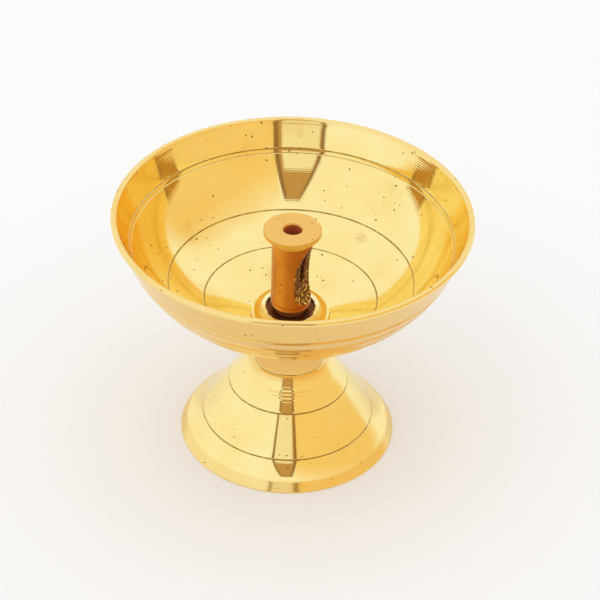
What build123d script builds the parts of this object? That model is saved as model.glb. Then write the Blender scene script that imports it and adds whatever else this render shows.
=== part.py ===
from build123d import *
from math import atan2, cos, degrees, radians, sin, sqrt, tan
import os

# A small turned brass butter lamp. Millimetres and degrees, +Z up, origin on the table under its axis.

# Overall sizes and the clearances that the pieces share
lamp_height = 52.5
rim_radius = 35.0
foot_height = 27.9
thread_clearance = 0.05
hole_clearance = 0.15
ring_cut = 0.2
faint_ring_cut = 0.1
ring_start = 0.05

# Foot: sloping band, hollow flare, cone in two pitches and waisted neck
base_radius = 21.7
edge_height = 0.25
band_radius = 20.5
band_height = 1.8
flare_radius = 17.3
flare_height = 4.9
flare_sag = 0.2
cone_ring_radius = 12.0
cone_ring_height = 12.3
shoulder_radius = 7.25
shoulder_height = 18.3
throat_radius = 6.9
pad_radius = 7.6
foot_wall = 1.6
foot_plate = 2.4

# Bowl: sloping floor, round belly, straight leaning wall and a beaded lip
bowl_wall = 0.9
bowl_floor = 1.0
floor_slope = 21.0
wall_lean = 23.0
belly_radius = 27.0
least_straight = 0.5
lip_overhang = 0.35
lip_inside = 0.05
lip_height = 1.2
rim_ring_drop = 6.1
floor_ring_rises = (3.6, 7.8)
belly_ring_drops = (7.3, 9.8, 12.4)

# Collar that clamps the bowl, and the seal in its underside
collar_radius = 7.25
collar_edge = 0.4
collar_height = 1.65
crown_radius = 5.6
collar_chamfer = 0.2
collar_bore_radius = 4.8
collar_web = 1.0
collar_neck_radius = 3.2
collar_neck_height = 2.4
seal_radius = 5.0
seal_thickness = 0.4

# Wick post: flared head, wick hole, threaded socket, scooped side and feed slot
post_radius = 3.97
post_top_drop = 3.7
head_radius = 5.65
head_band = 1.0
head_edge = 0.15
wick_radius = 1.7
wick_mouth = 0.35
socket_depth = 4.7
scoop_direction = -25.0
scoop_depth = 1.7
scoop_land_below = 1.2
scoop_land_above = 0.65
feed_slot_lift = 1.0
feed_slot_length = 6.5
feed_slot_width = 1.8

# Stud, washer and nut
stud_radius = 2.0
stud_chamfer = 0.4
stud_end_gap = 0.4
stud_tail = 1.9
washer_radius = 4.5
washer_thickness = 0.8
nut_across_flats = 7.0
nut_height = 3.2
nut_chamfer = 0.4

# Levels where the pieces meet, and the two holes for the stud
plate_bottom = foot_height - foot_plate
washer_bottom = plate_bottom - washer_thickness
nut_bottom = washer_bottom - nut_height
stud_bottom = nut_bottom - stud_tail
floor_top = foot_height + bowl_floor
post_bottom = floor_top + collar_neck_height
socket_top = post_bottom + socket_depth
stud_top = socket_top - stud_end_gap
post_top = lamp_height - post_top_drop
tapped_radius = stud_radius + thread_clearance
hole_radius = stud_radius + hole_clearance

# Directions in a section, where X is the radius and Y the height
outwards = Vector(1, 0)
upwards = Vector(0, 1)


# Turns a section, drawn as radius and height, about the lamp's axis
def turned(section):
    return revolve(Plane.XZ * section, Axis.Z)


# A flat ring between two radii, standing on a level
def flat_ring(inner_radius, outer_radius, level, thickness):
    section = Pos(inner_radius, level) * Rectangle(outer_radius - inner_radius, thickness, align=Align.MIN)
    return turned(section)


# The point where the line through start meets the line through end
def crossing(start, start_run, end, end_run):
    across = end - start
    turn = start_run.X * end_run.Y - start_run.Y * end_run.X
    return start + start_run * ((across.X * end_run.Y - across.Y * end_run.X) / turn)


# An open outline moved to its left by a wall's thickness, with mitred corners
def inset(points, wall):
    runs = [(end - start).normalized() for start, end in zip(points, points[1:])]
    normals = [Vector(-run.Y, run.X) for run in runs]
    before = [normals[0]] + normals
    after = normals + [normals[-1]]
    return [p + (a + b) * (wall / (1 + a.dot(b))) for p, a, b in zip(points, before, after)]


# The point of an outline at a height, and the outline's run there
def ring_at_height(outline, height):
    level = Line((0, height), (2 * rim_radius, height))
    point = outline.intersect(level).vertices()[0].center()
    return point, outline.tangent_at(point)


# Pointed cuts that leave incised rings, each at a point of a face that runs on with the metal at its left
def ring_cuts(rings, depth):
    cuts = []
    for point, run in rings:
        out_of_metal = Vector(run.Y, -run.X).normalized()
        place = Pos(point + out_of_metal * ring_start) * Rot(Z=degrees(atan2(run.Y, run.X)))
        cuts.append(place * RegularPolygon(depth + ring_start, 4))
    return cuts


def make_foot():
    base = Vector(base_radius, 0)
    edge = Vector(base_radius, edge_height)
    band = Vector(band_radius, band_height)
    flare = Vector(flare_radius, flare_height)
    cone_ring = Vector(cone_ring_radius, cone_ring_height)
    shoulder = Vector(shoulder_radius, shoulder_height)
    pad = Vector(pad_radius, foot_height)
    flare_run = (flare - band).normalized()
    hollow_way = Vector(-flare_run.Y, flare_run.X)
    flare_curve = Bezier(band, (band + flare) / 2 + hollow_way * (2 * flare_sag), flare)
    neck_middle = (shoulder + pad) / 2
    throat_pull = Vector(2 * throat_radius - neck_middle.X, neck_middle.Y)
    neck_curve = Bezier(shoulder, throat_pull, pad)
    outside = Polyline(base, edge, band) + flare_curve + Polyline(flare, cone_ring, shoulder) + neck_curve
    section = make_face(outside + Polyline(pad, (hole_radius, foot_height), (hole_radius, 0), base))
    lower_run = (cone_ring - flare).normalized()
    upper_run = (shoulder - cone_ring).normalized()
    flare_ring = (flare, flare_run + lower_run)
    middle_ring = (cone_ring, lower_run + upper_run)
    shoulder_ring = (shoulder, upper_run + upwards)
    section -= ring_cuts([flare_ring, middle_ring, shoulder_ring], ring_cut)
    inner_band, inner_flare, inner_ring = inset([edge, band, flare, cone_ring, shoulder], foot_wall)[1:-1]
    neck_bore = throat_radius - foot_wall
    bore_start = crossing(inner_ring, upper_run, outwards * neck_bore, upwards)
    mouth = crossing(inner_band, band - edge, Vector(0, 0), outwards)
    bore_end = Vector(neck_bore, plate_bottom)
    hollow = Polyline(
        mouth, inner_band, inner_flare, inner_ring, bore_start, bore_end, (0, plate_bottom), (0, 0), mouth
    )
    return turned(section - make_face(hollow))


def make_bowl():
    floor_run = Vector(cos(radians(floor_slope)), sin(radians(floor_slope)))
    wall_run = Vector(sin(radians(wall_lean)), cos(radians(wall_lean)))
    wall_outwards = Vector(wall_run.Y, -wall_run.X)
    lip_half_width = (bowl_wall + lip_overhang + lip_inside) / 2
    lip = Vector(rim_radius - lip_half_width, lamp_height - lip_height / 2)
    wall_top = lip + wall_outwards * (lip_half_width - lip_overhang)
    pad = Vector(pad_radius, foot_height)
    corner = crossing(pad, floor_run, wall_top, wall_run)
    half_turn = radians(90 - floor_slope - wall_lean) / 2
    shorter_run = min((wall_top - corner).length, (pad - corner).length)
    outer_belly = min(belly_radius, (shorter_run - least_straight) / tan(half_turn))
    inner_pad, inner_corner, inner_top = inset([pad, corner, wall_top], bowl_wall)
    floor_edge = crossing(inner_pad, floor_run, upwards * floor_top, outwards)
    outside = FilletPolyline(pad, corner, wall_top, radius=outer_belly)
    inside = FilletPolyline(floor_edge, inner_corner, inner_top, radius=outer_belly - bowl_wall)
    floor = Polyline(floor_edge, (hole_radius, floor_top), (hole_radius, foot_height), pad)
    section = make_face(outside + Line(wall_top, inner_top) + inside + floor)
    section += Pos(lip) * Ellipse(lip_half_width, lip_height / 2)
    inside_levels = [lamp_height - rim_ring_drop] + [floor_top + rise for rise in floor_ring_rises]
    belly_levels = [lamp_height - drop for drop in belly_ring_drops]
    inside_rings = [ring_at_height(inside, level) for level in inside_levels]
    section -= ring_cuts([(point, run * -1) for point, run in inside_rings], ring_cut)
    section -= ring_cuts([ring_at_height(outside, level) for level in belly_levels], faint_ring_cut)
    return turned(section)


def make_post_collar():
    crown_level = floor_top + collar_height
    recess_top = floor_top + seal_thickness
    recess_radius = seal_radius + hole_clearance
    edge_level = floor_top + collar_edge
    underside = Polyline(
        (tapped_radius, recess_top), (recess_radius, recess_top), (recess_radius, floor_top),
        (collar_radius, floor_top), (collar_radius, edge_level)
    )
    dome = EllipticalCenterArc(
        (crown_radius, edge_level), collar_radius - crown_radius, crown_level - edge_level, arc_size=90
    )
    gap = Polyline(
        (crown_radius, crown_level), (collar_bore_radius, crown_level - collar_chamfer),
        (collar_bore_radius, floor_top + collar_web),
        (collar_neck_radius, floor_top + collar_web), (collar_neck_radius, post_bottom),
        (tapped_radius, post_bottom), (tapped_radius, recess_top)
    )
    return turned(make_face(underside + dome + gap))


def make_wick_post():
    head_bottom = post_top - head_band
    flute = head_radius - post_radius
    flute_bottom = head_bottom - flute
    side = Polyline((tapped_radius, post_bottom), (post_radius, post_bottom), (post_radius, flute_bottom))
    under_head = CenterArc((head_radius, flute_bottom), flute, 90, 90)
    top = Polyline(
        (head_radius, head_bottom), (head_radius, post_top - head_edge),
        (head_radius - head_edge, post_top), (wick_radius + wick_mouth, post_top),
        (wick_radius, post_top - wick_mouth), (wick_radius, socket_top),
        (tapped_radius, socket_top), (tapped_radius, post_bottom)
    )
    post = turned(make_face(side + under_head + top))
    scoop_start = post_bottom + scoop_land_below
    scoop_length = flute_bottom - scoop_land_above - scoop_start
    scoop_radius = (scoop_length**2 / 4 + scoop_depth**2) / (2 * scoop_depth)
    scoop_centre = Pos(post_radius - scoop_depth + scoop_radius, 0, scoop_start + scoop_length / 2)
    scoop = scoop_centre * Rot(X=90) * Cylinder(scoop_radius, 4 * post_radius)
    slot_centre = Pos(0, 0, socket_top + feed_slot_lift + feed_slot_length / 2)
    slot_outline = Plane.YZ * SlotOverall(feed_slot_length, feed_slot_width, rotation=90)
    slot = slot_centre * extrude(slot_outline, post_radius)
    return post - Rot(Z=scoop_direction) * scoop - Rot(Z=scoop_direction) * slot


def make_centre_stud():
    tip_radius = stud_radius - stud_chamfer
    section = Polyline(
        (0, stud_bottom), (tip_radius, stud_bottom), (stud_radius, stud_bottom + stud_chamfer),
        (stud_radius, stud_top - stud_chamfer), (tip_radius, stud_top), (0, stud_top), (0, stud_bottom)
    )
    return turned(make_face(section))


def make_hex_nut():
    flat_radius = nut_across_flats / 2
    corner_radius = nut_across_flats / sqrt(3)
    nut_top = nut_bottom + nut_height
    prism = extrude(Pos(0, 0, nut_bottom) * RegularPolygon(flat_radius, 6, major_radius=False), nut_height)
    blank = Polyline(
        (tapped_radius, nut_bottom), (flat_radius, nut_bottom), (corner_radius, nut_bottom + nut_chamfer),
        (corner_radius, nut_top - nut_chamfer), (flat_radius, nut_top), (tapped_radius, nut_top),
        (tapped_radius, nut_bottom)
    )
    return prism & turned(make_face(blank))


pieces = {
    "foot": make_foot(),
    "bowl": make_bowl(),
    "post_collar": make_post_collar(),
    "seal_washer": flat_ring(hole_radius, seal_radius, floor_top, seal_thickness),
    "wick_post": make_wick_post(),
    "centre_stud": make_centre_stud(),
    "plain_washer": flat_ring(hole_radius, washer_radius, washer_bottom, washer_thickness),
    "hex_nut": make_hex_nut(),
}

os.makedirs("parts", exist_ok=True)
for node, piece in pieces.items():
    export_step(piece, f"parts/{node}.step")
    print(node, round(piece.volume, 1), "mm3")
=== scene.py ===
from math import cos, hypot, radians, sin, tan
import bmesh
import bpy
from mathutils import Matrix, Vector


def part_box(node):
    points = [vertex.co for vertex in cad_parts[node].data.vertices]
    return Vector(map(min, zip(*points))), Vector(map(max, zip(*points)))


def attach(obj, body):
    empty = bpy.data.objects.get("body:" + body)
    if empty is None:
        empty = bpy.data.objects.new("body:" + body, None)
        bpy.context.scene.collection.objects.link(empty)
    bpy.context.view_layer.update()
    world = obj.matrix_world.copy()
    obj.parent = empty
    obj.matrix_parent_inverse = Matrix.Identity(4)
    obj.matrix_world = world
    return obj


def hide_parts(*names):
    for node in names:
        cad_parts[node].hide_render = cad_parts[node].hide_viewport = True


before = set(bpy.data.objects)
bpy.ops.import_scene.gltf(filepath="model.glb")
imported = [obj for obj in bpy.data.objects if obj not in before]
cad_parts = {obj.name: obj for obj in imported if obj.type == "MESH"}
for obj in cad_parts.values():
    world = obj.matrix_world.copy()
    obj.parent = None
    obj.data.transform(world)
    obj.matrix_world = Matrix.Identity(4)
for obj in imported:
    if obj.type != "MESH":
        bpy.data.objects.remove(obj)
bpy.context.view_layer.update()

mm = 0.001  # sections are drawn in millimetres, meshes are in metres


# A node with its inputs plugged: a socket is linked, anything else is set
def addNode(tree, kind, plugs=None, **settings):
    node = tree.nodes.new(kind)
    for name, value in settings.items():
        setattr(node, name, value)
    for name, value in (plugs or {}).items():
        if isinstance(value, bpy.types.NodeSocket):
            tree.links.new(value, node.inputs[name])
        else:
            node.inputs[name].default_value = value
    return node


# One number worked out from others
def calc(tree, operation, *values):
    return addNode(tree, "ShaderNodeMath", dict(enumerate(values)), operation=operation).outputs[0]


# A vector worked out from others, as the node's outputs
def vectorCalc(tree, operation, *values):
    return addNode(tree, "ShaderNodeVectorMath", dict(enumerate(values)), operation=operation).outputs


# A number that a mesh carries under a name
def readMark(tree, name):
    return addNode(tree, "GeometryNodeInputNamedAttribute", {"Name": name}, data_type="FLOAT").outputs[0]


# An empty geometry tree with named inputs, given as name: (socket kind, first value)
def startTree(name, inputs):
    tree = bpy.data.node_groups.new(name, "GeometryNodeTree")
    tree.interface.new_socket("Geometry", in_out="INPUT", socket_type="NodeSocketGeometry")
    for label, (kind, value) in inputs.items():
        socket = tree.interface.new_socket(label, in_out="INPUT", socket_type=kind)
        if value is not None:
            socket.default_value = value
    tree.interface.new_socket("Geometry", in_out="OUTPUT", socket_type="NodeSocketGeometry")
    return tree, addNode(tree, "NodeGroupInput").outputs


crispAngle = radians(14)  # edges that turn by more stay crisp


# Every tree ends here: smooth faces, crisp corners, real geometry, a finish and one more for chosen faces
def endTree(tree, geometry, finish, chosen=None, chosenFinish=None):
    smooth = addNode(tree, "GeometryNodeSetShadeSmooth", {"Geometry": geometry}).outputs[0]
    turn = addNode(tree, "GeometryNodeInputMeshEdgeAngle").outputs["Unsigned Angle"]
    sharp = calc(tree, "GREATER_THAN", turn, crispAngle)
    crisp = addNode(tree, "GeometryNodeSetShadeSmooth", {
        "Geometry": smooth, "Selection": sharp, "Shade Smooth": False}, domain="EDGE").outputs[0]
    real = addNode(tree, "GeometryNodeRealizeInstances", {"Geometry": crisp}).outputs[0]
    coated = addNode(tree, "GeometryNodeSetMaterial", {"Geometry": real, "Material": finish}).outputs[0]
    if chosen:
        coated = addNode(tree, "GeometryNodeSetMaterial", {
            "Geometry": coated, "Selection": chosen, "Material": chosenFinish}).outputs[0]
    addNode(tree, "NodeGroupOutput", {"Geometry": coated})


railRadius = 1.0  # the circle that carries a section round, in millimetres
mergeDistance = 1e-7  # points closer than this are one, in metres
turningInputs = {
    "Segments": ("NodeSocketInt", 256),
    "Corner Steps": ("NodeSocketInt", 8),
    "Finish": ("NodeSocketMaterial", None),
}


def mergePoints(tree, geometry):
    return addNode(tree, "GeometryNodeMergeByDistance", {
        "Geometry": geometry, "Distance": mergeDistance}).outputs[0]


# A section swept round the lamp's axis, its marked corners rounded
def sweepSection(tree, inputs):
    curve = addNode(tree, "GeometryNodeMeshToCurve", {"Mesh": inputs["Geometry"]}).outputs[0]
    rounding = readMark(tree, "rounding")
    isCorner = calc(tree, "GREATER_THAN", rounding, 0.0)
    steps = calc(tree, "MULTIPLY", isCorner, inputs["Corner Steps"])
    rounded = addNode(tree, "GeometryNodeFilletCurve", {
        "Curve": curve, "Count": steps, "Radius": rounding, "Limit Radius": True}, mode="POLY")
    rail = addNode(tree, "GeometryNodeCurvePrimitiveCircle", {
        "Resolution": inputs["Segments"], "Radius": railRadius * mm}, mode="RADIUS")
    swept = addNode(tree, "GeometryNodeCurveToMesh", {
        "Curve": rail.outputs[0], "Profile Curve": rounded.outputs[0]})
    return mergePoints(tree, swept.outputs[0])


def makeTurningTree():
    tree, inputs = startTree("turnedPiece", turningInputs)
    endTree(tree, sweepSection(tree, inputs), inputs["Finish"])
    return tree


# A point of a section: radius, height, corner rounding, how dirty the face is there, and how satin it is,
# which also sets its share of the satin tone, a painted reflection on some faces
def spot(radius, height, rounding=0.0, dirt=0.0, satin=0.0):
    return (radius, height, rounding, dirt, satin)


# The same path with one satin share, and so one share of the satin tone
def satinAndReflectionPath(path, satin):
    return [spot(*point[:4], satin) for point in path]


# Points on an elliptic arc about a centre, between two angles in degrees
def arcSpots(centre, halfWidth, halfHeight, startAngle, endAngle, steps):
    turns = [radians(startAngle + (endAngle - startAngle) * i / steps) for i in range(steps + 1)]
    return [spot(centre[0] + halfWidth * cos(turn), centre[1] + halfHeight * sin(turn)) for turn in turns]


# Points on a shallow bow to the left of the way from start to end
def bowedSpots(start, end, sag, steps):
    way = Vector((end[0] - start[0], end[1] - start[1]))
    left = Vector((-way.y, way.x)).normalized()
    spots = []
    for i in range(steps + 1):
        part = i / steps
        place = Vector(start[:2]) + way * part + left * (sag * 4 * part * (1 - part))
        spots.append(spot(place.x, place.y))
    return spots


# Turning ripples on part of the straight run from start to end, strongest in their middle
def rippledSpots(start, end, ripples):
    way = end - start
    left = Vector((-way.y, way.x)).normalized()
    count = ripples["count"] * ripples["steps"]
    spots = []
    for i in range(count + 1):
        part = i / count
        wave = sin(radians(360) * ripples["count"] * part) * sin(radians(180) * part) ** 2
        along = ripples["start"] + (ripples["end"] - ripples["start"]) * part
        place = start + way * along + left * (wave * ripples["height"])
        spots.append(spot(place.x, place.y))
    return spots


# The crossing of two lines, each a point and a direction
def crossing(start, startRun, end, endRun):
    across = end - start
    turn = startRun.x * endRun.y - startRun.y * endRun.x
    return start + startRun * ((across.x * endRun.y - across.y * endRun.x) / turn)


# An open outline moved to its left by a wall's thickness
def inset(points, wall):
    runs = [(end - start).normalized() for start, end in zip(points, points[1:])]
    lefts = [Vector((-run.y, run.x)) for run in runs]
    pairs = zip(points, [lefts[0]] + lefts, lefts + [lefts[-1]])
    return [point + (a + b) * (wall / (1 + a.dot(b))) for point, a, b in pairs]


# A bend of the given radius between two straight runs
def roundedBend(start, bend, end, radius, steps):
    before = (bend - start).normalized()
    after = (end - bend).normalized()
    turn = before.angle(after)
    reach = radius * tan(turn / 2)
    left = Vector((-before.y, before.x))
    centre = bend - before * reach + left * radius
    spots = [spot(start.x, start.y)]
    for i in range(steps + 1):
        angle = turn * i / steps
        place = centre - left * (radius * cos(angle)) + before * (radius * sin(angle))
        spots.append(spot(place.x, place.y))
    return spots + [spot(end.x, end.y)]


# Long stretches of a section filled in, so that shading and bends stay even
def fillIn(path, spacing):
    filled = [path[0]]
    for start, end in zip(path, path[1:]):
        count = int(hypot(end[0] - start[0], end[1] - start[1]) / spacing)
        for i in range(1, count + 1):
            part = i / (count + 1)
            radius, height, rounding, dirt, satin = (a + (b - a) * part for a, b in zip(start, end))
            filled.append(spot(radius, height, 0.0, dirt, satin))
        filled.append(end)
    return filled


# Half widths from a ring's middle, with the depth and the dirt there: a round groove, a ledge that faces up
# and a fine pair
grooveShape = ((-1.0, 0.0, 0.0), (-0.7, -0.1, 0.3), (-0.35, 0.7, 0.9), (0.0, 1.0, 1.0),
               (0.35, 0.7, 0.9), (0.7, -0.1, 0.3), (1.0, 0.0, 0.0))
ledgeShape = ((-0.6, 0.0, 0.0), (-0.4, -0.1, 0.0), (-0.25, 1.0, 0.0), (1.0, 0.0, 0.0))
pairShape = ((-1.0, 0.0, 0.0), (-0.8, 0.7, 0.6), (-0.6, 0.0, 0.1), (0.3, 0.0, 0.0), (0.5, -0.1, 0.3),
             (0.7, 1.0, 1.0), (0.9, -0.1, 0.3), (1.0, 0.0, 0.0))


# Incised rings cut into a path at the given heights; metalSide is 1 where the metal lies left of the path
def cutRings(path, levels, rings, metalSide):
    reach = [0.0]
    for start, end in zip(path, path[1:]):
        reach.append(reach[-1] + hypot(end[0] - start[0], end[1] - start[1]))
    halfWidth = rings["width"] / 2
    cuts = []
    middles = []
    for level in levels:
        index = next(i for i in range(len(path) - 1)
                     if (path[i][1] - level) * (path[i + 1][1] - level) <= 0)
        start, end = Vector(path[index][:2]), Vector(path[index + 1][:2])
        part = (level - start.y) / (end.y - start.y)
        run = (end - start).normalized()
        inwards = Vector((-run.y, run.x)) * metalSide
        middle = reach[index] + (end - start).length * part
        middles.append(middle)
        for along, depth, dirt in rings["shape"]:
            place = start.lerp(end, part) + run * (along * halfWidth) + inwards * (depth * rings["depth"])
            cuts.append((middle + along * halfWidth, spot(place.x, place.y, 0.0, dirt * rings["dirt"])))
    kept = [(length, point) for length, point in zip(reach, path)
            if all(abs(length - middle) > halfWidth for middle in middles)]
    return [point for length, point in sorted(kept + cuts)]


# The plain mesh of a section, with its corner rounding, dirt and satin as attributes
def sectionMesh(name, path):
    mesh = bpy.data.meshes.new(name)
    # The sweep turns Y down, so heights are written negative
    points = [((point[0] - railRadius) * mm, -point[1] * mm, 0.0) for point in path]
    edges = [(i, (i + 1) % len(path)) for i in range(len(path))]
    mesh.from_pydata(points, edges, [])
    for mark, index, unit in (("rounding", 2, mm), ("dirt", 3, 1), ("satin", 4, 1)):
        values = [point[index] * unit for point in path]
        mesh.attributes.new(mark, "FLOAT", "POINT").data.foreach_set("value", values)
    return mesh


# Runs a tree on a mesh and keeps the result as a plain mesh, normals outwards
def growPiece(name, mesh, tree, sizes):
    piece = bpy.data.objects.new(name, mesh)
    bpy.context.scene.collection.objects.link(piece)
    modifier = piece.modifiers.new(tree.name, "NODES")
    modifier.node_group = tree
    for item in tree.interface.items_tree:
        if item.in_out == "INPUT" and item.name in sizes:
            modifier[item.identifier] = sizes[item.name]
    graph = bpy.context.evaluated_depsgraph_get()
    grown = bpy.data.meshes.new_from_object(
        piece.evaluated_get(graph), preserve_all_data_layers=True, depsgraph=graph)
    piece.modifiers.remove(modifier)
    piece.data = grown
    if None in grown.materials[:]:
        grown.materials.pop(index=grown.materials[:].index(None))  # an empty place that a cutter left
    work = bmesh.new()
    work.from_mesh(grown)
    bmesh.ops.recalc_face_normals(work, faces=work.faces)
    work.to_mesh(grown)
    work.free()
    print(name, len(grown.vertices), "points")
    return piece


# A finished piece takes the place of its CAD node on its body
def fit(piece, node, body):
    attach(piece, body)
    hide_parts(node)


# A colour between two, by a mask
def blendColour(tree, mask, first, second):
    return addNode(tree, "ShaderNodeMix", {0: mask, 6: first, 7: second}, data_type="RGBA").outputs[2]


# A value moved from one range to another and held at its ends
def spread(tree, value, fromLow, fromHigh, toLow=0.0, toHigh=1.0):
    plugs = {0: value, 1: fromLow, 2: fromHigh, 3: toLow, 4: toHigh}
    return addNode(tree, "ShaderNodeMapRange", plugs).outputs[0]


# Noise of a grain size in millimetres, on a place or along a line
def grainOf(tree, size, place=None, along=None, detail=2.0):
    plugs = {"Scale": 1 / (size * mm), "Detail": detail}
    if along:
        return addNode(tree, "ShaderNodeTexNoise", plugs | {"W": along}, noise_dimensions="1D").outputs[0]
    return addNode(tree, "ShaderNodeTexNoise", plugs | {"Vector": place}).outputs[0]


# A relief of a height in millimetres
def bumpOf(tree, relief, height):
    return addNode(tree, "ShaderNodeBump", {"Height": relief, "Distance": height * mm}).outputs[0]


# An empty material, with the place on the piece that its patterns read
def startMaterial(name):
    material = bpy.data.materials.new(name)
    material.use_nodes = True
    material.node_tree.nodes.clear()
    return material, material.node_tree, addNode(material.node_tree, "ShaderNodeTexCoord").outputs["Object"]


def endMaterial(tree, sockets):
    surface = addNode(tree, "ShaderNodeBsdfPrincipled", sockets)
    addNode(tree, "ShaderNodeOutputMaterial", {"Surface": surface.outputs[0]})


midNoise = (0.35, 0.65)  # the range that most of a noise falls in


# The scallops that a lathe tool leaves, some bands deeper than others, with a fine grain over them
def toolMarks(tree, along, look):
    turns = calc(tree, "FRACT", calc(tree, "DIVIDE", along, look["linePitch"] * mm))
    beside = calc(tree, "SUBTRACT", turns, 0.5)
    scallop = calc(tree, "MULTIPLY", calc(tree, "MULTIPLY", beside, beside), 4.0)
    band = spread(tree, grainOf(tree, look["bandWidth"], along=along), *midNoise, *look["bandDepths"])
    grain = calc(tree, "MULTIPLY", grainOf(tree, look["fineWidth"], along=along), look["lineGrain"])
    return calc(tree, "MULTIPLY_ADD", scallop, band, grain)


# Small dark pits of mixed sizes, more of them where the clouds are thick
def pitMask(tree, place, clouds, look):
    cells = addNode(tree, "ShaderNodeTexVoronoi", {"Vector": place, "Scale": 1 / (look["pitSpacing"] * mm)})
    chance = addNode(tree, "ShaderNodeSeparateColor", {0: cells.outputs["Color"]}).outputs
    edge = calc(tree, "MULTIPLY", chance[1], look["pitRadius"] / look["pitSpacing"])
    inPit = calc(tree, "LESS_THAN", cells.outputs["Distance"], edge)
    share = spread(tree, clouds, *midNoise, *look["pitShares"])
    pits = calc(tree, "MULTIPLY", inPit, calc(tree, "LESS_THAN", chance[0], share))
    return calc(tree, "MULTIPLY", pits, look["pitDark"])


# Brown stains where the clouds are thick, and one mark of its own
def stainMask(tree, place, clouds, look):
    stains = spread(tree, clouds, *look["stainEdge"], 0.0, look["stain"])
    away = vectorCalc(tree, "DISTANCE", place, Vector(look["markPlace"]) * mm)["Value"]
    near = spread(tree, away, 0.0, look["markRadius"] * mm, 1.0, 0.0)
    speckled = spread(tree, grainOf(tree, look["markGrain"], place), *look["patchEdge"])
    mark = calc(tree, "MULTIPLY", calc(tree, "MULTIPLY", near, speckled), look["mark"])
    return calc(tree, "MAXIMUM", stains, mark)


# Turned brass: tool marks about the axis, slow changes of tone, pits, stains, and dirt in the cuts, with a
# satin tone that is partly painted reflection and highlight, and, where a look asks, painted shade on one
# side
def makeBrass(name, look):
    material, tree, place = startMaterial(name)
    height = addNode(tree, "ShaderNodeSeparateXYZ", {0: place}).outputs["Z"]
    acrossAxis = vectorCalc(tree, "MULTIPLY", place, (1, 1, 0))[0]
    radius = vectorCalc(tree, "LENGTH", acrossAxis)["Value"]
    marks = toolMarks(tree, calc(tree, "MULTIPLY_ADD", height, look["lineSlope"], radius), look)
    drawn = addNode(tree, "ShaderNodeMapping", {"Vector": place, "Scale": look["cloudDraw"]}).outputs[0]
    clouds = grainOf(tree, look["cloudSize"], drawn, detail=3.0)
    dirt = addNode(tree, "ShaderNodeAttribute", attribute_name="dirt").outputs["Fac"]
    satin = addNode(tree, "ShaderNodeAttribute", attribute_name="satin").outputs["Fac"]
    stains = stainMask(tree, place, clouds, look)
    patches = grainOf(tree, look["dirtGrain"], place)
    patchy = spread(tree, patches, *look["patchEdge"], look["dirtPatch"], 1.0)
    inCuts = calc(tree, "MINIMUM", calc(tree, "MULTIPLY", dirt, patchy), 1.0)
    dark = calc(tree, "MAXIMUM", pitMask(tree, place, clouds, look), inCuts)
    clean = blendColour(tree, spread(tree, clouds, *look["cloudEdge"]), look["tone"], look["deepTone"])
    # Painted shade: the piece turns darker towards one side, along a given way
    if "shadedSideTone" in look:
        facing = vectorCalc(tree, "DOT_PRODUCT", place, look["shadedSideWay"])["Value"]
        start, end = look["shadedSideReach"]
        shadedSide = spread(tree, facing, start * mm, end * mm)
        clean = blendColour(tree, shadedSide, clean, look["shadedSideTone"])
    # Satin faces take the satin tone: a painted reflection of the shaded floor on the bowl's outside, a
    # painted highlight on the collar's chamfer
    tone = blendColour(tree, satin, clean, look["satinAndReflectionTone"])
    colour = blendColour(tree, dark, blendColour(tree, stains, tone, look["stainTone"]), look["dirtTone"])
    smudge = calc(tree, "MULTIPLY_ADD", clouds, look["smudge"], look["roughness"])
    finish = calc(tree, "MULTIPLY_ADD", satin, look["satinRoughness"], smudge)
    dull = calc(tree, "MULTIPLY", calc(tree, "MAXIMUM", dark, stains), look["dirtRoughness"])
    endMaterial(tree, {
        "Base Color": colour, "Metallic": spread(tree, dark, 0.0, 1.0, 1.0, look["dirtMetal"]),
        "Roughness": calc(tree, "ADD", finish, dull), "Normal": bumpOf(tree, marks, look["lineHeight"])})
    return material


# Sizes, spacings, radii and heights are in millimetres; an edge is where a noise goes from none to all
brassLook = {
    "tone": (0.985, 0.83, 0.37, 1), "deepTone": (0.965, 0.76, 0.29, 1),
    "cloudSize": 9.0, "cloudDraw": (1, 1, 1), "cloudEdge": (0.3, 0.7),
    # the satin tone is a deep orange; on the bowl's outside it is a painted reflection of the shaded floor
    "roughness": 0.04, "smudge": 0.04, "satinRoughness": 0.2, "satinAndReflectionTone": (0.85, 0.49, 0.13, 1),
    "lineSlope": 1.0, "linePitch": 0.6, "lineHeight": 0.002, "bandWidth": 5.4, "bandDepths": (0.4, 1.4),
    "fineWidth": 0.24, "lineGrain": 0.25,
    "pitSpacing": 1.5, "pitRadius": 0.26, "pitShares": (0.135, 0.765), "pitDark": 0.75,
    "stain": 0.3, "stainEdge": (0.66, 0.78), "stainTone": (0.62, 0.30, 0.05, 1),
    "mark": 0.0, "markPlace": (0, 0, 0), "markRadius": 1.0, "markGrain": 0.3,
    "dirtGrain": 1.2, "dirtPatch": 0.6, "patchEdge": (0.4, 0.6),
    "dirtMetal": 0.8, "dirtRoughness": 0.3, "dirtTone": (0.20, 0.08, 0.015, 1),
}
turningTree = makeTurningTree()
print("turning tree ready")

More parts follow.
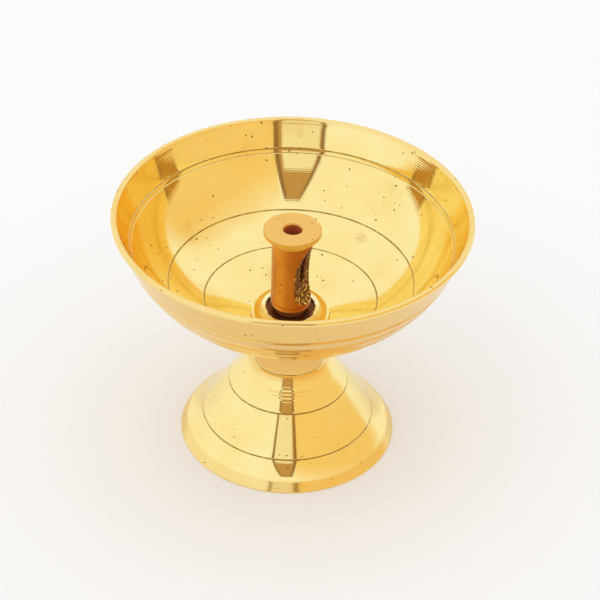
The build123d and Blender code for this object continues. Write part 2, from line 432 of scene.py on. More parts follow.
# Bowl
bowlLow, bowlHigh = (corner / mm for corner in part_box("bowl"))
bowl = {
    "padRadius": 7.6, "holeRadius": 2.15, "wall": 0.9, "floor": 1.0, "floorSlope": 21.0, "wallLean": 23.0,
    "bellyRadius": 27.0, "bellySteps": 36, "spacing": 0.7, "segments": 320,
    "outsideSatinAndReflection": 0.6, "lipSatin": 0.25, "lipOverhang": 0.35, "lipHalfWidth": 0.65, "lipHalfHeight": 0.6,
    "lipStart": -84, "lipEnd": 155, "lipSteps": 40,
    "rimRing": {"shape": pairShape, "width": 1.3, "depth": 0.14, "dirt": 0.7}, "rimRingDrop": 6.1,
    "floorRings": {"shape": grooveShape, "width": 0.38, "depth": 0.15, "dirt": 0.65},
    "floorRingRises": (3.6, 7.8),
    "bellyRings": {"shape": ledgeShape, "width": 1.2, "depth": 0.2, "dirt": 0.0},
    "bellyRingDrops": (7.3, 9.8, 12.4),
}
bowlFinish = makeBrass("bowlBrass", brassLook | {
    "mark": 0.9, "markPlace": (14.1, 17.2, 34.5), "markRadius": 1.8, "markGrain": 0.54})


def bowlSection(sizes):
    floorRun = Vector((cos(radians(sizes["floorSlope"])), sin(radians(sizes["floorSlope"]))))
    wallRun = Vector((sin(radians(sizes["wallLean"])), cos(radians(sizes["wallLean"]))))
    lip = Vector((bowlHigh.x - sizes["lipHalfWidth"], bowlHigh.z - sizes["lipHalfHeight"]))
    wallTop = lip + Vector((wallRun.y, -wallRun.x)) * (sizes["lipHalfWidth"] - sizes["lipOverhang"])
    pad = Vector((sizes["padRadius"], bowlLow.z))
    corner = crossing(pad, floorRun, wallTop, wallRun)
    innerPad, innerCorner, innerTop = inset([pad, corner, wallTop], sizes["wall"])
    floorTop = bowlLow.z + sizes["floor"]
    floorEdge = crossing(innerPad, floorRun, Vector((0, floorTop)), Vector((1, 0)))
    bellySteps = sizes["bellySteps"]
    underLip = wallTop - wallRun * sizes["lipHalfHeight"]
    outside = roundedBend(pad, corner, underLip, sizes["bellyRadius"], bellySteps)
    inside = roundedBend(floorEdge, innerCorner, innerTop, sizes["bellyRadius"] - sizes["wall"], bellySteps)
    belly = [bowlHigh.z - drop for drop in sizes["bellyRingDrops"]]
    rimLevel = bowlHigh.z - sizes["rimRingDrop"]
    floorLevels = [floorTop + rise for rise in sizes["floorRingRises"]]
    outside = cutRings(fillIn(outside, sizes["spacing"]), belly, sizes["bellyRings"], 1)
    inside = cutRings(fillIn(inside, sizes["spacing"]), floorLevels, sizes["floorRings"], -1)
    inside = cutRings(inside, [rimLevel], sizes["rimRing"], -1)
    bead = satinAndReflectionPath(arcSpots(lip, sizes["lipHalfWidth"], sizes["lipHalfHeight"], sizes["lipStart"],
                              sizes["lipEnd"], sizes["lipSteps"]), sizes["lipSatin"])
    floor = fillIn([spot(sizes["holeRadius"], floorTop), spot(floorEdge.x, floorEdge.y)], sizes["spacing"])
    under = fillIn([spot(sizes["holeRadius"], bowlLow.z), spot(pad.x, pad.y)], sizes["spacing"])
    # The outside takes part of the satin tone: a painted reflection of the shaded floor below it
    return under + satinAndReflectionPath(outside[1:], sizes["outsideSatinAndReflection"]) + bead + inside[-2:0:-1] + floor[::-1]


bowlPiece = growPiece("bowlTurned", sectionMesh("bowlSection", bowlSection(bowl)), turningTree, {
    "Segments": bowl["segments"], "Finish": bowlFinish})
fit(bowlPiece, "bowl", "base")

# Foot
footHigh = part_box("foot")[1] / mm
foot = {
    "edgeHeight": 0.25, "bandRadius": 20.5, "bandHeight": 1.8,
    "flareRadius": 17.3, "flareHeight": 4.9, "flareSag": 0.2, "flareSteps": 10,
    "coneRingRadius": 12.0, "coneRingHeight": 12.3, "shoulderRadius": 7.25, "shoulderHeight": 18.3,
    "throatRadius": 6.9, "padRadius": 7.6, "wall": 1.6, "plate": 2.4, "holeRadius": 2.15,
    "edgeRounding": 0.12, "innerRounding": 0.4, "spacing": 0.6, "segments": 280, "bandSatin": 0.3,
    "rings": {"shape": grooveShape, "width": 0.38, "depth": 0.15, "dirt": 0.65},
    "ripples": {"count": 5, "steps": 8, "start": 0.25, "end": 0.75, "height": 0.03},
    "neckSteps": 16, "neckSatin": 0.8, "hollowSatin": 1.5, "hollowDirt": 0.35,
}
footFinish = makeBrass("footBrass", brassLook | {"lineSlope": -1.0, "pitShares": (0.075, 0.425)})


def footSection(sizes):
    edge = Vector((footHigh.x, sizes["edgeHeight"]))
    band = Vector((sizes["bandRadius"], sizes["bandHeight"]))
    flare = Vector((sizes["flareRadius"], sizes["flareHeight"]))
    coneRing = Vector((sizes["coneRingRadius"], sizes["coneRingHeight"]))
    shoulder = Vector((sizes["shoulderRadius"], sizes["shoulderHeight"]))
    pad = Vector((sizes["padRadius"], footHigh.z))
    plateBottom = footHigh.z - sizes["plate"]
    neckSag = (shoulder.x + pad.x) / 2 - sizes["throatRadius"]
    soft = sizes["edgeRounding"]
    outside = [spot(footHigh.x, 0, soft / 2), spot(edge.x, edge.y, soft), spot(band.x, band.y)]
    outside = satinAndReflectionPath(outside, sizes["bandSatin"])
    outside += bowedSpots(band, flare, sizes["flareSag"], sizes["flareSteps"])[1:]
    outside += [spot(coneRing.x, coneRing.y)] + rippledSpots(coneRing, shoulder, sizes["ripples"])
    outside += satinAndReflectionPath(bowedSpots(shoulder, pad, neckSag, sizes["neckSteps"]), sizes["neckSatin"])
    levels = [sizes["flareHeight"], sizes["coneRingHeight"], sizes["shoulderHeight"]]
    outside = cutRings(fillIn(outside, sizes["spacing"]), levels, sizes["rings"], 1)
    innerBand, innerFlare, innerRing = inset([edge, band, flare, coneRing, shoulder], sizes["wall"])[1:-1]
    neckBore = sizes["throatRadius"] - sizes["wall"]
    boreStart = crossing(innerRing, shoulder - coneRing, Vector((neckBore, 0)), Vector((0, 1)))
    mouth = crossing(innerBand, band - edge, Vector((0, 0)), Vector((1, 0)))
    bend = sizes["innerRounding"]
    hollow = [
        spot(sizes["holeRadius"], plateBottom), spot(neckBore, plateBottom, bend),
        spot(boreStart.x, boreStart.y, bend), spot(innerRing.x, innerRing.y, bend),
        spot(innerFlare.x, innerFlare.y, bend), spot(innerBand.x, innerBand.y, bend), spot(mouth.x, 0, soft),
    ]
    hollow = fillIn(hollow, sizes["spacing"])
    rawHollow = [spot(*point[:3], sizes["hollowDirt"], sizes["hollowSatin"]) for point in hollow]
    top = fillIn([spot(pad.x, pad.y), spot(sizes["holeRadius"], footHigh.z)], sizes["spacing"])
    return outside[:-1] + top + rawHollow


footPiece = growPiece("footTurned", sectionMesh("footSection", footSection(foot)), turningTree, {
    "Segments": foot["segments"], "Finish": footFinish})
fit(footPiece, "foot", "base")

# Collar round the post's foot
collarLow, collarHigh = (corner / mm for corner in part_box("post_collar"))
collar = {
    "edge": 0.4, "height": 1.65, "crownRadius": 5.6, "chamfer": 0.2, "boreRadius": 4.8, "web": 1.0,
    "neckRadius": 3.2, "holeRadius": 2.05, "recessRadius": 5.15, "recess": 0.4, "rounding": 0.08,
    "ridgePitch": 0.35, "ridgeDepth": 0.12, "domeSteps": 14, "spacing": 0.3, "segments": 256,
    "gapDarkness": 6.0, "chamferDirt": 1.0, "chamferHighlight": 1.0, "ringRadius": 5.15,
}
# The collar's satin tone is a pale cream: a painted highlight on its chamfer
collarFinish = makeBrass("collarBrass", brassLook | {
    "tone": (0.90, 0.57, 0.12, 1), "deepTone": (0.80, 0.43, 0.06, 1), "cloudSize": 4.0,
    "satinAndReflectionTone": (0.99, 0.88, 0.5, 1), "satinRoughness": 0.05,
    "dirtGrain": 0.3, "dirtPatch": 0.2, "dirtMetal": 0.6, "dirtTone": (0.17, 0.04, 0.008, 1)})


def collarSection(sizes):
    low = collarLow.z
    soft = sizes["rounding"]
    # The bore, web and neck in the gap under the post are made dark all through
    gapDarkness = sizes["gapDarkness"]
    satin = sizes["chamferHighlight"]
    crown = (sizes["crownRadius"], low + sizes["edge"])
    webTop = low + sizes["web"]
    recessTop = low + sizes["recess"]
    top = low + sizes["height"]
    chamferLow = top - sizes["chamfer"]
    path = [spot(sizes["holeRadius"], recessTop), spot(sizes["recessRadius"], recessTop),
            spot(sizes["recessRadius"], low), spot(collarHigh.x, low, soft)]
    domeWidth = collarHigh.x - crown[0]
    dome = arcSpots(crown, domeWidth, sizes["height"] - sizes["edge"], 0, 90, sizes["domeSteps"])
    path += dome[:-1] + satinAndReflectionPath(dome[-1:], satin)
    # Painted highlight: the chamfer takes the pale satin tone and stays glossy
    path += [spot(sizes["ringRadius"], top - sizes["chamfer"] / 2, 0.0, 0.0, satin),
             spot(sizes["boreRadius"], chamferLow, soft, sizes["chamferDirt"], satin),
             spot(sizes["boreRadius"] + soft / 2, chamferLow - soft, 0.0, gapDarkness),
             spot(sizes["boreRadius"], webTop, 0.0, gapDarkness)]
    valley = sizes["neckRadius"] - sizes["ridgeDepth"]
    for i in range(int((collarHigh.z - webTop) / sizes["ridgePitch"])):
        level = webTop + i * sizes["ridgePitch"]
        path.append(spot(sizes["neckRadius"], level, 0.0, gapDarkness))
        path.append(spot(valley, level + sizes["ridgePitch"] / 2, 0.0, gapDarkness))
    path += [spot(valley, collarHigh.z, soft, gapDarkness),
             spot(sizes["holeRadius"], collarHigh.z, 0.0, gapDarkness)]
    return fillIn(path + path[:1], sizes["spacing"])[:-1]


collarPiece = growPiece("collarTurned", sectionMesh("collarSection", collarSection(collar)), turningTree, {
    "Segments": collar["segments"], "Finish": collarFinish})
fit(collarPiece, "post_collar", "base")

# Wick post
postLow, postHigh = (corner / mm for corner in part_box("wick_post"))
post = {
    "radius": 3.97, "headBand": 1.0, "headEdge": 0.15, "wickRadius": 1.7, "wickMouth": 0.35,
    "tappedRadius": 2.05, "socketDepth": 4.7, "rounding": 0.1, "fluteSteps": 12,
    "spacing": 0.35, "segments": 192, "topSatin": 1.0, "fluteSatin": 0.8,
    "holeDirt": 4.0, "mouthDirt": 0.3, "rimDirt": 0.8, "rimHeight": 0.35,
    "scoopTurn": -25.0, "scoopDepth": 1.7, "scoopHeadPower": 2.0, "scoopFootPower": 6.0,
    "scoopLandBelow": 1.2, "scoopLandAbove": 0.65, "scoopRoughness": 0.4, "grainsPerMetre": 1400.0,
    "sheetLength": 16.0, "sheetWidth": 12.0, "sheetRows": 131, "sheetColumns": 97, "cutReach": 8.0,
    "slotLift": 1.0, "slotLength": 6.5, "slotWidth": 1.8, "slotEnds": 0.499, "slotEndSteps": 12,
}
scoopLook = {
    "grain": 0.55, "shadeGrain": 2.2, "speckEdge": (0.62, 0.68), "lowSpecks": 0.12, "specksFade": 9.0,
    "grainHeight": 0.3, "oxideMetal": 0.65, "oxideRoughness": 0.55, "speckRoughness": 0.25,
    "oxideTone": (0.30, 0.085, 0.016, 1), "oxideShade": (0.10, 0.026, 0.007, 1),
    "speckTone": (0.9, 0.6, 0.18, 1),
}
# The post's orange-brown tone and deep tone are a painted reflection of the bowl's inside
postBrassAndReflection = makeBrass("postBrassPaintedReflection", brassLook | {
    "tone": (0.80, 0.37, 0.075, 1), "deepTone": (0.55, 0.18, 0.03, 1), "satinAndReflectionTone": (0.90, 0.57, 0.17, 1),
    # painted shade: darker towards the scoop's side, at the front right
    "shadedSideTone": (0.42, 0.12, 0.02, 1), "shadedSideReach": (-1.2, 2.8),
    "shadedSideWay": (cos(radians(post["scoopTurn"])), sin(radians(post["scoopTurn"])), 0),
    "roughness": 0.16, "cloudSize": 2.5, "cloudDraw": (1, 1, 0.25),
    "pitSpacing": 1.1, "pitRadius": 0.28, "pitShares": (0.18, 1.02), "lineHeight": 0.0015,
    "dirtTone": (0.56, 0.13, 0.035, 1), "dirtPatch": 0.3, "dirtMetal": 0.2, "dirtGrain": 0.5})


# The file-cut scoop: dark rough oxide, with bright specks that gather towards its foot
def makeScoopFinish(name, look):
    material, tree, place = startMaterial(name)
    height = addNode(tree, "ShaderNodeSeparateXYZ", {0: place}).outputs["Z"]
    grain = grainOf(tree, look["grain"], place, detail=4.0)
    shade = grainOf(tree, look["shadeGrain"], place)
    fadeTop = postLow.z + look["specksFade"]
    low = spread(tree, height, postLow.z * mm, fadeTop * mm, look["lowSpecks"], 0.0)
    specks = spread(tree, calc(tree, "ADD", grain, low), *look["speckEdge"])
    oxide = blendColour(tree, shade, look["oxideTone"], look["oxideShade"])
    endMaterial(tree, {
        "Base Color": blendColour(tree, specks, oxide, look["speckTone"]),
        "Metallic": spread(tree, specks, 0, 1, look["oxideMetal"], 1.0),
        "Roughness": spread(tree, specks, 0, 1, look["oxideRoughness"], look["speckRoughness"]),
        "Normal": bumpOf(tree, grain, look["grainHeight"])})
    return material


scoopFinish = makeScoopFinish("scoopOxide", scoopLook)


def postSection(sizes):
    soft = sizes["rounding"]
    headRadius = postHigh.x
    headBottom = postHigh.z - sizes["headBand"]
    flute = headRadius - sizes["radius"]
    socketTop = postLow.z + sizes["socketDepth"]
    mouthRadius = sizes["wickRadius"] + sizes["wickMouth"]
    side = [spot(sizes["tappedRadius"], postLow.z, soft),
            spot(sizes["radius"], postLow.z, soft, sizes["rimDirt"]),
            spot(sizes["radius"], postLow.z + sizes["rimHeight"])]
    bend = arcSpots((headRadius, headBottom - flute), flute, flute, 180, 90, sizes["fluteSteps"])[:-1]
    side += bend[:1] + satinAndReflectionPath(bend[1:], sizes["fluteSatin"])
    side += [spot(headRadius, headBottom, soft / 2, 0.0, sizes["fluteSatin"]),
             spot(headRadius, postHigh.z - sizes["headEdge"], soft / 2, 0.0, sizes["fluteSatin"])]
    top = [spot(headRadius - sizes["headEdge"], postHigh.z, soft / 2), spot(mouthRadius, postHigh.z, soft)]
    mouthLow = postHigh.z - sizes["wickMouth"]
    hole = [spot(sizes["wickRadius"], mouthLow, soft, sizes["mouthDirt"]),
            spot(sizes["wickRadius"], mouthLow - soft * 2, 0.0, sizes["holeDirt"]),
            spot(sizes["wickRadius"], socketTop, 0.0, sizes["holeDirt"]),
            spot(sizes["tappedRadius"], socketTop, 0.0, sizes["holeDirt"])]
    path = side + satinAndReflectionPath(top, sizes["topSatin"]) + hole
    return fillIn(path + path[:1], sizes["spacing"])[:-1]


# The closed block between an open sheet and its copy moved by an offset
def thicken(tree, sheet, offset):
    raised = addNode(tree, "GeometryNodeExtrudeMesh", {"Mesh": sheet, "Offset": offset, "Offset Scale": 1.0,
                                                       "Individual": False}).outputs[0]
    bottom = addNode(tree, "GeometryNodeFlipFaces", {"Mesh": sheet}).outputs[0]
    joined = addNode(tree, "GeometryNodeJoinGeometry")
    for part in (raised, bottom):
        tree.links.new(part, joined.inputs[0])
    return mergePoints(tree, joined.outputs[0])


# The block that a rough, bowed sheet cuts away: its head runs out gently and its foot ends steeply
def makeScoopCutter(tree, inputs):
    sheet = addNode(tree, "GeometryNodeMeshGrid", {
        "Size X": inputs["Sheet Length"], "Size Y": inputs["Sheet Width"],
        "Vertices X": inputs["Sheet Rows"], "Vertices Y": inputs["Sheet Columns"]}).outputs[0]
    place = addNode(tree, "GeometryNodeInputPosition").outputs[0]
    rise, across = addNode(tree, "ShaderNodeSeparateXYZ", {0: place}).outputs[:2]
    halfLength = calc(tree, "MULTIPLY", inputs["Scoop Length"], 0.5)
    fromMiddle = calc(tree, "DIVIDE", calc(tree, "ABSOLUTE", rise), halfLength)
    isFoot = calc(tree, "LESS_THAN", rise, 0.0)
    power = addNode(tree, "ShaderNodeMix", {
        0: isFoot, 2: inputs["Head Power"], 3: inputs["Foot Power"]}).outputs[0]
    run = calc(tree, "POWER", fromMiddle, power)
    bow = calc(tree, "MULTIPLY_ADD", run, inputs["Scoop Depth"], inputs["Scoop Floor"])
    grain = addNode(tree, "ShaderNodeTexNoise", {"Scale": inputs["Grain Scale"], "Detail": 3.0}).outputs[0]
    rough = calc(tree, "MULTIPLY", calc(tree, "SUBTRACT", grain, 0.5), inputs["Roughness"])
    height = calc(tree, "ADD", rise, inputs["Scoop Middle"])
    scooped = addNode(tree, "ShaderNodeCombineXYZ", {
        0: calc(tree, "ADD", bow, rough), 1: across, 2: height}).outputs[0]
    bent = addNode(tree, "GeometryNodeSetPosition", {"Geometry": sheet, "Position": scooped}).outputs[0]
    faced = addNode(tree, "GeometryNodeFlipFaces", {"Mesh": bent}).outputs[0]
    return thicken(tree, faced, addNode(tree, "ShaderNodeCombineXYZ", {0: inputs["Reach"]}).outputs[0])


# The round-ended block that cuts the feed slot
def makeSlotCutter(tree, inputs):
    window = addNode(tree, "GeometryNodeCurvePrimitiveQuadrilateral", {
        "Width": inputs["Slot Length"], "Height": inputs["Slot Width"]}).outputs[0]
    endRadius = calc(tree, "MULTIPLY", inputs["Slot Width"], inputs["Slot Ends"])
    rounded = addNode(tree, "GeometryNodeFilletCurve", {
        "Curve": window, "Count": inputs["Slot End Steps"], "Radius": endRadius}, mode="POLY").outputs[0]
    face = addNode(tree, "GeometryNodeFillCurve", {"Curve": rounded}, mode="NGONS").outputs[0]
    upwards = addNode(tree, "ShaderNodeCombineXYZ", {2: inputs["Reach"]}).outputs[0]
    middle = addNode(tree, "ShaderNodeCombineXYZ", {2: inputs["Slot Middle"]}).outputs[0]
    return addNode(tree, "GeometryNodeTransform", {
        "Geometry": thicken(tree, face, upwards), "Translation": middle,
        "Rotation": (0, radians(90), 0)}).outputs[0]


# The turned post, cut by the scoop and the slot, whose faces get the scoop's finish
def makePostTree():
    numbers = ("Scoop Length", "Scoop Depth", "Scoop Floor", "Scoop Middle", "Scoop Turn", "Head Power",
               "Foot Power", "Grain Scale", "Roughness", "Sheet Length", "Sheet Width", "Slot Length",
               "Slot Width", "Slot Middle", "Slot Ends", "Reach")
    counts = ("Sheet Rows", "Sheet Columns", "Slot End Steps")
    tree, inputs = startTree("scoopedPost", turningInputs | {
        name: ("NodeSocketFloat", None) for name in numbers} | {
        name: ("NodeSocketInt", None) for name in counts} | {
        "Scoop Finish": ("NodeSocketMaterial", None)})
    turn = addNode(tree, "ShaderNodeCombineXYZ", {2: inputs["Scoop Turn"]}).outputs[0]
    cut = addNode(tree, "GeometryNodeMeshBoolean", {"Mesh 1": sweepSection(tree, inputs)},
                  operation="DIFFERENCE", solver="MANIFOLD")
    for cutter in (makeScoopCutter(tree, inputs), makeSlotCutter(tree, inputs)):
        marked = addNode(tree, "GeometryNodeStoreNamedAttribute", {
            "Geometry": cutter, "Name": "scooped", "Value": 1.0},
            data_type="FLOAT", domain="FACE").outputs[0]
        faced = addNode(tree, "GeometryNodeTransform", {"Geometry": marked, "Rotation": turn}).outputs[0]
        tree.links.new(faced, cut.inputs["Mesh 2"])
    inScoop = calc(tree, "GREATER_THAN", readMark(tree, "scooped"), 0.5)
    endTree(tree, cut.outputs[0], inputs["Finish"], inScoop, inputs["Scoop Finish"])
    return tree


scoopStart = postLow.z + post["scoopLandBelow"]
fluteBottom = postHigh.z - post["headBand"] - (postHigh.x - post["radius"])
scoopLength = fluteBottom - post["scoopLandAbove"] - scoopStart
slotMiddle = postLow.z + post["socketDepth"] + post["slotLift"] + post["slotLength"] / 2
postPiece = growPiece("postTurned", sectionMesh("postSection", postSection(post)), makePostTree(), {
    "Segments": post["segments"], "Finish": postBrassAndReflection, "Scoop Finish": scoopFinish,
    "Scoop Length": scoopLength * mm, "Scoop Depth": post["scoopDepth"] * mm,
    "Scoop Floor": (post["radius"] - post["scoopDepth"]) * mm,
    "Scoop Middle": (scoopStart + scoopLength / 2) * mm, "Scoop Turn": radians(post["scoopTurn"]),
    "Head Power": post["scoopHeadPower"], "Foot Power": post["scoopFootPower"],
    "Grain Scale": post["grainsPerMetre"], "Roughness": post["scoopRoughness"] * mm,
    "Sheet Length": post["sheetLength"] * mm, "Sheet Width": post["sheetWidth"] * mm,
    "Sheet Rows": post["sheetRows"], "Sheet Columns": post["sheetColumns"], "Reach": post["cutReach"] * mm,
    "Slot Length": post["slotLength"] * mm, "Slot Width": post["slotWidth"] * mm,
    "Slot Middle": slotMiddle * mm, "Slot Ends": post["slotEnds"], "Slot End Steps": post["slotEndSteps"]})
fit(postPiece, "wick_post", "post")

# Stud, washer, nut and seal
studLow, studHigh = (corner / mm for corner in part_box("centre_stud"))
washerLow, washerHigh = (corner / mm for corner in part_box("plain_washer"))
nutLow, nutHigh = (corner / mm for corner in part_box("hex_nut"))
sealLow, sealHigh = (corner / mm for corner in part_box("seal_washer"))
hardware = {
    "pitch": 0.7, "rootRadius": 1.6, "chamfer": 0.4, "crest": 0.12, "studSegments": 64, "rowsPerPitch": 12,
    "holeRadius": 2.15, "tappedRadius": 2.05, "washerRounding": 0.18, "sealRounding": 0.1,
    "nutChamfer": 0.4, "nutMargin": 0.5, "spacing": 0.4, "segments": 160,
}
hardwareFinish = makeBrass("hardwareBrass", brassLook | {
    "tone": (0.74, 0.57, 0.28, 1), "deepTone": (0.66, 0.48, 0.21, 1), "roughness": 0.26, "linePitch": 0.3,
    "bandWidth": 2.7, "fineWidth": 0.12, "cloudSize": 3.0, "stain": 0.5, "stainEdge": (0.58, 0.70)})
fibreLook = {
    "ground": (0.36, 0.07, 0.045, 1), "fleck": (0.52, 0.18, 0.12, 1),
    "fleckSize": 0.3, "fleckDraw": (1, 1, 4), "fleckEdge": (0.45, 0.7), "fleckHeight": 0.03,
    "roughEdge": (0.3, 0.7), "roughness": (0.7, 0.9),
}


# Pressed red fibre: short flecks in a matte ground
def makeFibre(name, look):
    material, tree, place = startMaterial(name)
    drawn = addNode(tree, "ShaderNodeMapping", {"Vector": place, "Scale": look["fleckDraw"]}).outputs[0]
    flecks = grainOf(tree, look["fleckSize"], drawn, detail=4.0)
    mask = spread(tree, flecks, *look["fleckEdge"])
    endMaterial(tree, {
        "Base Color": blendColour(tree, mask, look["ground"], look["fleck"]),
        "Roughness": spread(tree, flecks, *look["roughEdge"], *look["roughness"]),
        "Normal": bumpOf(tree, flecks, look["fleckHeight"])})
    return material


fibreFinish = makeFibre("redFibre", fibreLook)


# A rod with a helical thread, its ends chamfered
def makeThreadTree():
    lengths = ("Radius", "Root Radius", "Pitch", "Crest", "Chamfer", "Length", "Middle")
    tree, inputs = startTree("threadedRod", {name: ("NodeSocketFloat", None) for name in lengths} | {
        "Segments": ("NodeSocketInt", None), "Rows": ("NodeSocketInt", None),
        "Finish": ("NodeSocketMaterial", None)})
    rod = addNode(tree, "GeometryNodeMeshCylinder", {
        "Vertices": inputs["Segments"], "Side Segments": inputs["Rows"], "Radius": inputs["Radius"],
        "Depth": inputs["Length"]}, fill_type="TRIANGLE_FAN").outputs["Mesh"]
    place = addNode(tree, "GeometryNodeInputPosition").outputs[0]
    x, y, z = addNode(tree, "ShaderNodeSeparateXYZ", {0: place}).outputs
    turns = calc(tree, "DIVIDE", calc(tree, "ARCTAN2", y, x), radians(360))
    phase = calc(tree, "FRACT", calc(tree, "SUBTRACT", calc(tree, "DIVIDE", z, inputs["Pitch"]), turns))
    flank = calc(tree, "MULTIPLY", calc(tree, "ABSOLUTE", calc(tree, "SUBTRACT", phase, 0.5)), 2.0)
    rest = calc(tree, "SUBTRACT", 1.0, inputs["Crest"])
    thread = spread(tree, flank, inputs["Crest"], rest, inputs["Root Radius"], inputs["Radius"])
    toEnd = calc(tree, "SUBTRACT", calc(tree, "MULTIPLY", inputs["Length"], 0.5), calc(tree, "ABSOLUTE", z))
    chamfered = calc(tree, "ADD", calc(tree, "SUBTRACT", inputs["Radius"], inputs["Chamfer"]), toEnd)
    size = calc(tree, "DIVIDE", calc(tree, "MINIMUM", thread, chamfered), inputs["Radius"])
    cut = addNode(tree, "ShaderNodeCombineXYZ", {
        0: calc(tree, "MULTIPLY", x, size), 1: calc(tree, "MULTIPLY", y, size),
        2: calc(tree, "ADD", z, inputs["Middle"])}).outputs[0]
    threaded = addNode(tree, "GeometryNodeSetPosition", {"Geometry": rod, "Position": cut}).outputs[0]
    endTree(tree, threaded, inputs["Finish"])
    return tree


studLength = studHigh.z - studLow.z
studPiece = growPiece("studThreaded", bpy.data.meshes.new("studStart"), makeThreadTree(), {
    "Radius": studHigh.x * mm, "Root Radius": hardware["rootRadius"] * mm, "Pitch": hardware["pitch"] * mm,
    "Crest": hardware["crest"], "Chamfer": hardware["chamfer"] * mm, "Length": studLength * mm,
    "Middle": (studLow.z + studHigh.z) / 2 * mm, "Segments": hardware["studSegments"],
    "Rows": int(studLength / hardware["pitch"] * hardware["rowsPerPitch"]), "Finish": hardwareFinish})
fit(studPiece, "centre_stud", "base")


# A flat ring with rounded rims, inside the corners of its CAD node
def ringSection(low, high, holeRadius, rounding, spacing):
    path = [spot(holeRadius, low.z, rounding), spot(high.x, low.z, rounding),
            spot(high.x, high.z, rounding), spot(holeRadius, high.z, rounding)]
    return fillIn(path + path[:1], spacing)[:-1]


def makeFlatRing(name, low, high, rounding, finish):
    section = ringSection(low, high, hardware["holeRadius"], rounding, hardware["spacing"])
    return growPiece(name, sectionMesh(name + "Section", section), turningTree, {
        "Segments": hardware["segments"], "Finish": finish})


fit(makeFlatRing("washerTurned", washerLow, washerHigh, hardware["washerRounding"], hardwareFinish),
    "plain_washer", "base")
fit(makeFlatRing("sealRing", sealLow, sealHigh, hardware["sealRounding"], fibreFinish),
    "seal_washer", "base")


# A chamfered round blank cut to six flats
def makeNutTree():
    tree, inputs = startTree("hexNut", turningInputs | {
        name: ("NodeSocketFloat", None) for name in ("Corner Radius", "Length", "Middle")})
    blank = sweepSection(tree, inputs)
    bar = addNode(tree, "GeometryNodeMeshCylinder", {
        "Vertices": 6, "Radius": inputs["Corner Radius"], "Depth": inputs["Length"]},
        fill_type="NGON").outputs["Mesh"]
    middle = addNode(tree, "ShaderNodeCombineXYZ", {2: inputs["Middle"]}).outputs[0]
    lifted = addNode(tree, "GeometryNodeTransform", {"Geometry": bar, "Translation": middle}).outputs[0]
    cut = addNode(tree, "GeometryNodeMeshBoolean", operation="INTERSECT", solver="MANIFOLD")
    for part in (blank, lifted):
        tree.links.new(part, cut.inputs["Mesh 2"])
    endTree(tree, cut.outputs[0], inputs["Finish"])
    return tree


def nutSection(sizes):
    flatRadius = nutHigh.y
    cornerRadius = nutHigh.x
    bore = sizes["tappedRadius"]
    chamfer = sizes["nutChamfer"]
    path = [spot(bore, nutLow.z + chamfer), spot(bore + chamfer, nutLow.z), spot(flatRadius, nutLow.z),
            spot(cornerRadius, nutLow.z + chamfer), spot(cornerRadius, nutHigh.z - chamfer),
            spot(flatRadius, nutHigh.z), spot(bore + chamfer, nutHigh.z), spot(bore, nutHigh.z - chamfer)]
    return fillIn(path + path[:1], sizes["spacing"])[:-1]


nutPiece = growPiece("nutSixFlats", sectionMesh("nutSection", nutSection(hardware)), makeNutTree(), {
    "Segments": hardware["segments"], "Finish": hardwareFinish, "Corner Radius": nutHigh.x * mm,
    "Length": (nutHigh.z - nutLow.z + 2 * hardware["nutMargin"]) * mm,
    "Middle": (nutLow.z + nutHigh.z) / 2 * mm})
fit(nutPiece, "hex_nut", "base")

# Studio: pale floor, white surroundings, and cards behind the camera that the brass reflects
studio = {
    "aim": (0.001855, 0.0, 0.031713), "distance": 0.44406, "elevation": 36.81, "azimuth": -0.30,
    "roll": 1.90, "lens": 134.99, "sensor": 36.0,
    "floorSize": 3.0, "floorTone": (0.98, 0.98, 0.98, 1), "sheetRoughness": 0.9, "worldLight": 0.97,
    "lampPlace": (-0.6, -0.5, 0.9), "lampSize": 0.8, "lampPower": 0.6, "glossyBounces": 12,
}
# The two low and the two high corners of each card, and where it starts to fade and is gone, in metres
cards = {
    "darkCard": {"low": ((-0.21, -0.50, 0.0), (0.14, -0.50, 0.0)),
                 "high": ((-0.06, -0.50, 0.85), (0.09, -0.50, 0.85)), "tone": (0.28, 0.15, 0.06, 1)},
    "middleCard": {"low": ((-0.18, -0.495, 0.02), (0.11, -0.495, 0.02)),
                   "high": ((-0.045, -0.495, 0.80), (0.06, -0.495, 0.80)), "tone": (0.55, 0.33, 0.14, 1)},
    "paleCard": {"low": ((-0.15, -0.49, 0.14), (0.08, -0.49, 0.14)),
                 "high": ((-0.115, -0.49, 0.35), (0.07, -0.49, 0.35)), "tone": (0.96, 0.92, 0.84, 1)},
    "warmCard": {"low": ((0.14, -0.58, 0.0), (1.0, 0.7, 0.0)),
                 "high": ((0.14, -0.58, 1.2), (1.0, 0.7, 1.2)), "tone": (0.95, 0.72, 0.36, 1),
                 "fadeUp": (0.4, 1.2), "fadeAcross": (0.7, 1.0)},
    "backCard": {"low": ((-0.6, 0.7, 0.05), (0.6, 0.7, 0.05)),
                 "high": ((-0.6, 0.7, 0.6), (0.6, 0.7, 0.6)), "tone": (0.98, 0.86, 0.64, 1),
                 "fadeUp": (0.35, 0.6), "fadeAcross": (0.3, 0.6)},
}


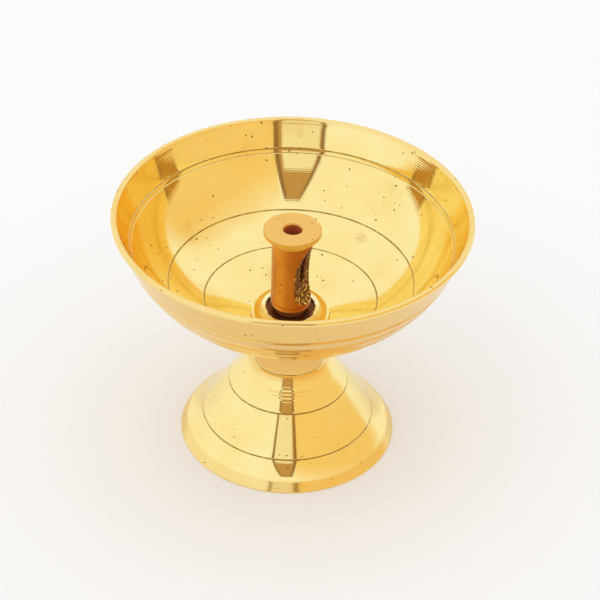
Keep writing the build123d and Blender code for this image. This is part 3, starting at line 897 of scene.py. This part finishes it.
def makeCamera(sizes):
    turn = radians(sizes["azimuth"])
    lift = radians(sizes["elevation"])
    back = Vector((sin(turn) * cos(lift), -cos(turn) * cos(lift), sin(lift)))
    lens = bpy.data.cameras.new("photoCamera")
    lens.lens = sizes["lens"]
    lens.sensor_width = sizes["sensor"]
    camera = bpy.data.objects.new("photoCamera", lens)
    facing = (-back).to_track_quat("-Z", "Y").to_matrix().to_4x4()
    rolled = facing @ Matrix.Rotation(radians(sizes["roll"]), 4, "Z")
    camera.matrix_world = Matrix.Translation(Vector(sizes["aim"]) + back * sizes["distance"]) @ rolled
    bpy.context.scene.collection.objects.link(camera)
    bpy.context.scene.camera = camera


# A flat matte sheet of the stage
def makeSheet(name, corners, tone):
    mesh = bpy.data.meshes.new(name)
    mesh.from_pydata(corners, [], [(0, 1, 2, 3)])
    material = bpy.data.materials.new(name)
    material.use_nodes = True
    surface = material.node_tree.nodes["Principled BSDF"].inputs
    surface["Base Color"].default_value = tone
    surface["Roughness"].default_value = studio["sheetRoughness"]
    mesh.materials.append(material)
    sheet = bpy.data.objects.new(name, mesh)
    bpy.context.scene.collection.objects.link(sheet)
    return sheet


def makeFloor(sizes):
    half = sizes["floorSize"] / 2
    corners = [(-half, -half, 0), (half, -half, 0), (half, half, 0), (-half, half, 0)]
    makeSheet("floor", corners, sizes["floorTone"])


# A card that fades out at its top and towards its ends
def feather(sheet, card):
    tree = sheet.data.materials[0].node_tree
    place = addNode(tree, "ShaderNodeTexCoord").outputs["Object"]
    parts = addNode(tree, "ShaderNodeSeparateXYZ", {0: place}).outputs
    up = spread(tree, parts["Z"], *card["fadeUp"], 1.0, 0.0)
    across = spread(tree, calc(tree, "ABSOLUTE", parts["X"]), *card["fadeAcross"], 1.0, 0.0)
    tree.links.new(calc(tree, "MULTIPLY", up, across), tree.nodes["Principled BSDF"].inputs["Alpha"])


def makeCards(sheets):
    for name, card in sheets.items():
        sheet = makeSheet(name, [*card["low"], *reversed(card["high"])], card["tone"])
        sheet.visible_camera = False  # only the brass shows it
        sheet.visible_diffuse = False
        sheet.visible_shadow = False
        if "fadeUp" in card:
            feather(sheet, card)


def makeWorld(sizes):
    world = bpy.data.worlds.new("whiteRoom")
    world.use_nodes = True
    tree = world.node_tree
    tree.nodes.clear()
    rays = addNode(tree, "ShaderNodeLightPath").outputs
    seen = calc(tree, "MAXIMUM", rays["Is Camera Ray"],
                calc(tree, "MAXIMUM", rays["Is Glossy Ray"], rays["Is Transmission Ray"]))
    strength = spread(tree, seen, 0, 1, sizes["worldLight"], 1.0)
    white = addNode(tree, "ShaderNodeBackground", {"Color": (1, 1, 1, 1), "Strength": strength})
    addNode(tree, "ShaderNodeOutputWorld", {"Surface": white.outputs[0]})
    bpy.context.scene.world = world


def makeLamp(sizes):
    light = bpy.data.lights.new("softKey", "AREA")
    light.size = sizes["lampSize"]
    light.energy = sizes["lampPower"]
    lamp = bpy.data.objects.new("softKey", light)
    lamp.location = sizes["lampPlace"]
    beam = Vector(sizes["aim"]) - Vector(sizes["lampPlace"])
    lamp.rotation_euler = beam.to_track_quat("-Z", "Y").to_euler()
    lamp.visible_glossy = False  # the surroundings are white already
    bpy.context.scene.collection.objects.link(lamp)


makeCamera(studio)
makeFloor(studio)
makeCards(cards)
makeWorld(studio)
makeLamp(studio)
bpy.context.scene.view_settings.view_transform = "Standard"
bpy.context.scene.cycles.glossy_bounces = studio["glossyBounces"]  # the bowl mirrors itself many times
print("studio ready")
